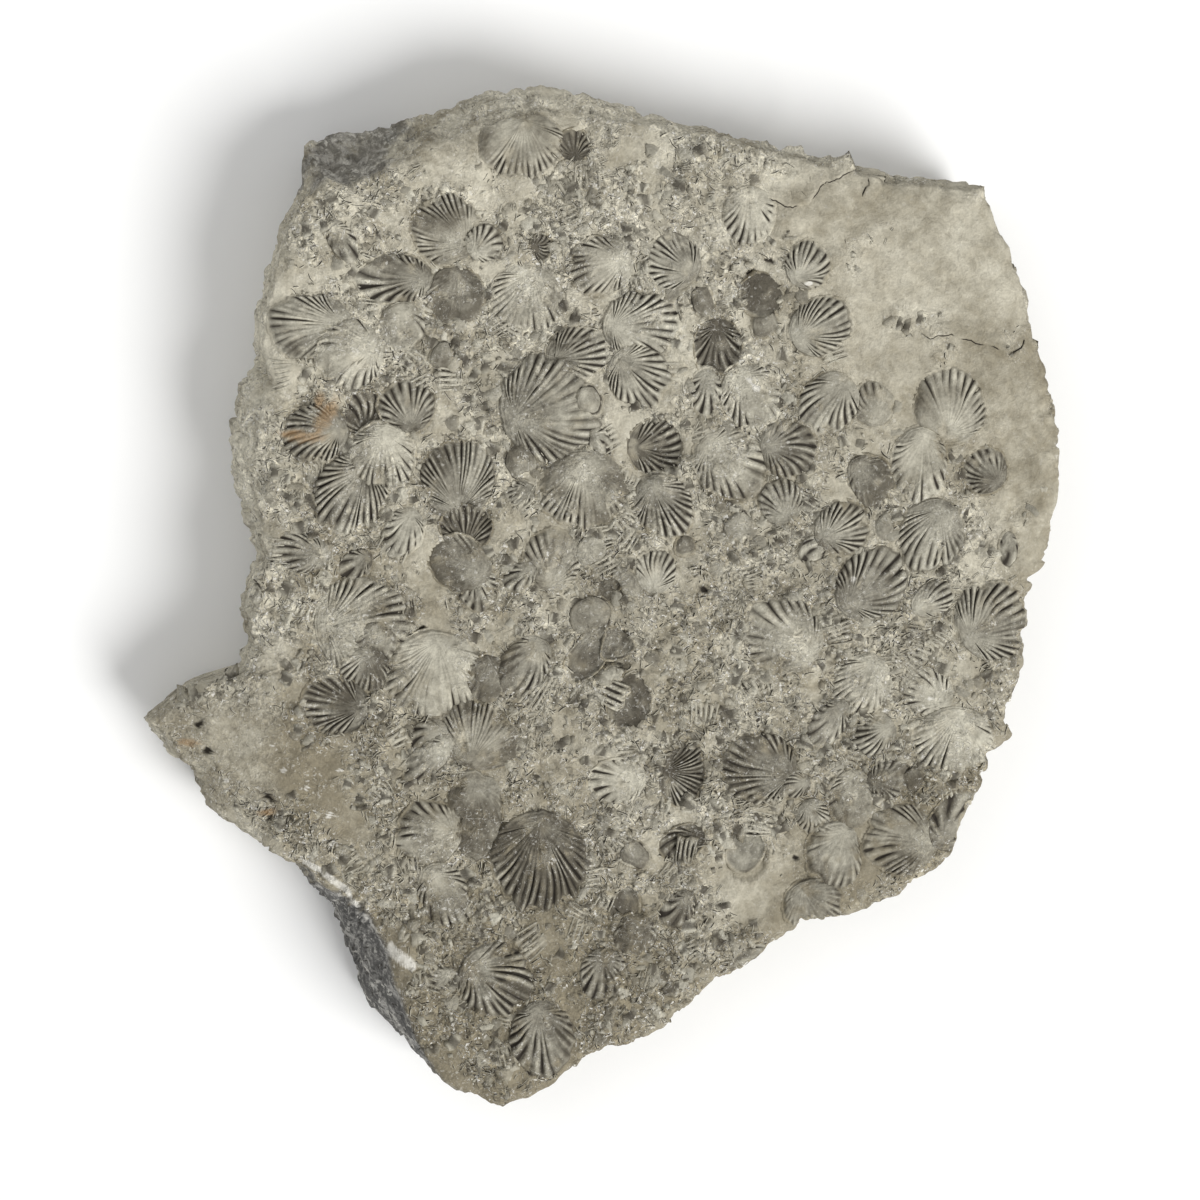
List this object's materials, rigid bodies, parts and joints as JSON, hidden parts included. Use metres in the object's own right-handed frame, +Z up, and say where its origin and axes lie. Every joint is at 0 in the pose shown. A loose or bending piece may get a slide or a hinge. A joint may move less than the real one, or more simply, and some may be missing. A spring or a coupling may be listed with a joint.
{
  "type": "brachiopod fossil slab",
  "caption": "Broken limestone slab lying flat, its upper bedding face crowded with ribbed brachiopod valves, worn valves and moulds; a display or study fossil.",
  "frame": {"origin": "under the middle of the slab's outline, on the flat underside it rests on", "axes": "+Z up, out of the fossil face; +Y along the slab's longest side; +X to the right seen from above"},
  "size_m": [0.1812, 0.2, 0.0299],
  "materials": {
    "shell_limestone": "weathered matt limestone, greyish beige with paler worn shells, brown-black furrows and dark grey fresh breaks"
  },
  "bodies": {
    "root": {"shell_bed_slab": "shell_limestone"}
  },
  "joints": []
}
